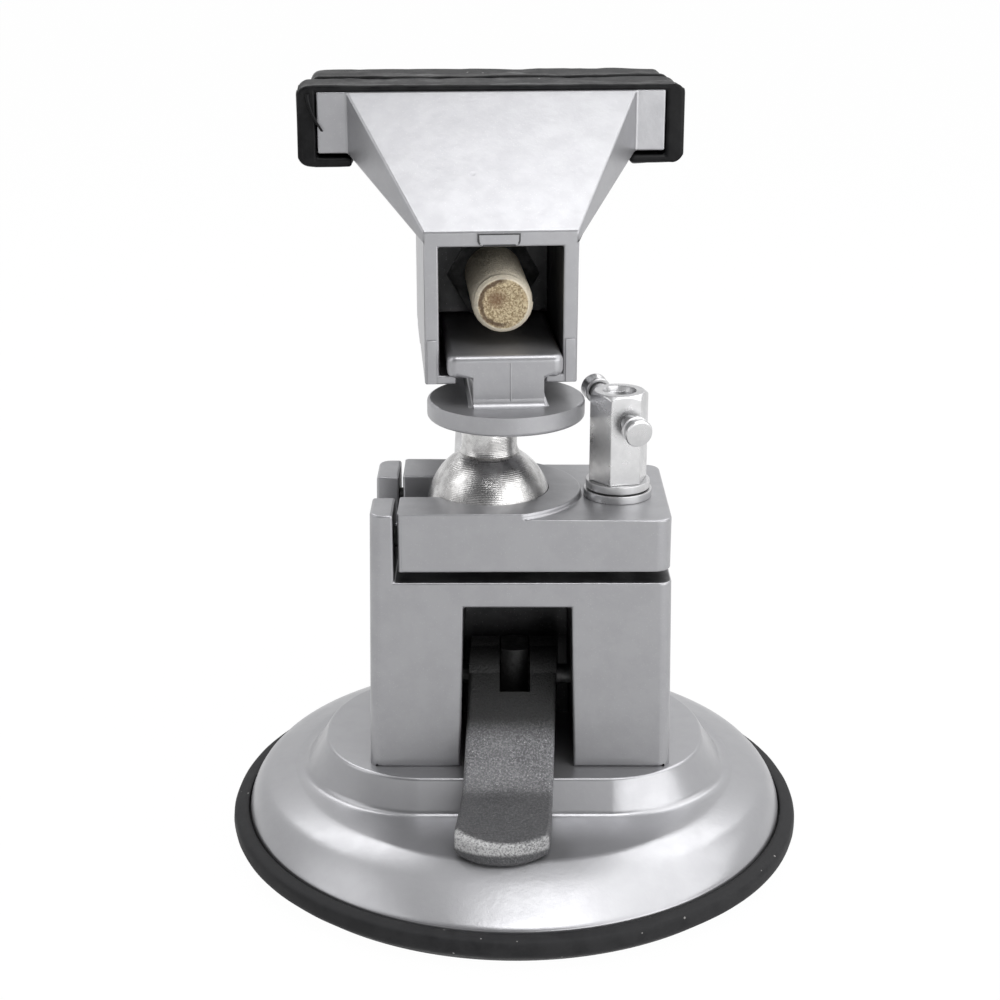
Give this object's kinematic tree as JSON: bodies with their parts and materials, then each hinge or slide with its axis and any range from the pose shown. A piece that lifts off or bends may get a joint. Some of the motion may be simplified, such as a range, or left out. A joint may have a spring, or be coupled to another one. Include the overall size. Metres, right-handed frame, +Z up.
{
  "type": "suction base swivel vise",
  "caption": "Small bench vise with rubber-capped jaws on a clamped ball joint, held to a smooth table by a lever-worked suction base.",
  "frame": {"origin": "centre of the rubber suction rim, on the base axis, at the table", "axes": "+Z up from the table, -Y towards the vacuum lever, +X towards the clamp screw"},
  "size_m": [0.115, 0.1466, 0.147],
  "materials": {
    "grey_casting": "satin silver-grey paint over a die casting",
    "black_rubber": "matte black moulded rubber",
    "zinc_steel": "zinc plated steel",
    "bare_steel": "bare turned steel",
    "yellow_zinc": "dull yellow passivated steel thread",
    "charcoal_lever": "rough charcoal paint",
    "blackened_steel": "oil blackened steel"
  },
  "bodies": {
    "base": {"base_dome": "grey_casting", "suction_cup": "black_rubber", "ball_housing": "grey_casting", "housing_screws": "zinc_steel", "clamp_plate": "grey_casting", "plate_dowels": "blackened_steel", "lever_pins": "zinc_steel", "clamp_washer": "zinc_steel"},
    "stem": {"cup_stem": "blackened_steel", "cup_plate": "zinc_steel"},
    "lever": {"vacuum_lever": "charcoal_lever", "link_pin": "blackened_steel"},
    "post": {"clamp_post": "zinc_steel"},
    "tommy": {"clamp_bar": "zinc_steel", "clamp_bar_ends": "zinc_steel"},
    "stud": {"ball_stud": "bare_steel"},
    "head": {"fixed_jaw": "grey_casting", "fixed_jaw_cap": "black_rubber", "thrust_washer": "zinc_steel"},
    "slider": {"moving_jaw": "grey_casting", "moving_jaw_cap": "black_rubber", "lead_nut": "blackened_steel"},
    "screw": {"lead_screw": "yellow_zinc", "screw_clip": "blackened_steel"},
    "handle": {"handle_bar": "zinc_steel", "handle_ends": "zinc_steel"},
    "ring": {"captive_washer": "zinc_steel"}
  },
  "joints": [
    {"name": "lever_turn", "type": "hinge", "parent": "base", "child": "lever", "pos_m": [0, -0.00346, 0.0334], "axis": [-1, 0, 0], "range_deg": [0, 60]},
    {"name": "stem_slide", "type": "slide", "parent": "base", "child": "stem", "axis": [0, 0, -1], "range_m": [0, 0.004], "deforming": ["suction_cup"]},
    {"name": "clamp_drop", "type": "slide", "parent": "base", "child": "ring", "axis": [0, 0, -1], "range_m": [0, 0.000208]},
    {"name": "clamp_turn", "type": "hinge", "parent": "ring", "child": "post", "pos_m": [0.0199, -0.0016, 0.08], "axis": [0, 0, -1], "range_deg": [0, 60]},
    {"name": "clamp_bar_slide", "type": "slide", "parent": "post", "child": "tommy", "axis": [-0.3378, 0.9281, 0.1564], "range_m": [-0.0044, 0.0012]},
    {"name": "ball_nod", "type": "hinge", "parent": "base", "child": "stud", "pos_m": [-0.005, 0, 0.0683], "axis": [1, 0, 0], "range_deg": [-25, 30]},
    {"name": "head_spin", "type": "hinge", "parent": "stud", "child": "head", "pos_m": [-0.005, 0, 0.0683], "axis": [0, 0, 1], "range_deg": [-4, 180]},
    {"name": "jaw_slide", "type": "slide", "parent": "head", "child": "slider", "axis": [0.0698, -0.9976, 0], "range_m": [0, 0.028]},
    {"name": "screw_turn", "type": "hinge", "parent": "head", "child": "screw", "pos_m": [-0.00231, 0.00019, 0.1079], "axis": [-0.0698, 0.9976, 0], "range_deg": [0, 5760]},
    {"name": "handle_slide", "type": "slide", "parent": "screw", "child": "handle", "axis": [0.0522, 0.0037, 0.9986], "range_m": [0, 0.051]}
  ],
  "couplings": [
    {"joint": "stem_slide", "follows": "lever_turn", "m_per_rad": 0.0038197},
    {"joint": "screw_turn", "follows": "jaw_slide", "rad_per_m": 3590.4},
    {"joint": "clamp_turn", "follows": "clamp_drop", "rad_per_m": 5026.5}
  ]
}
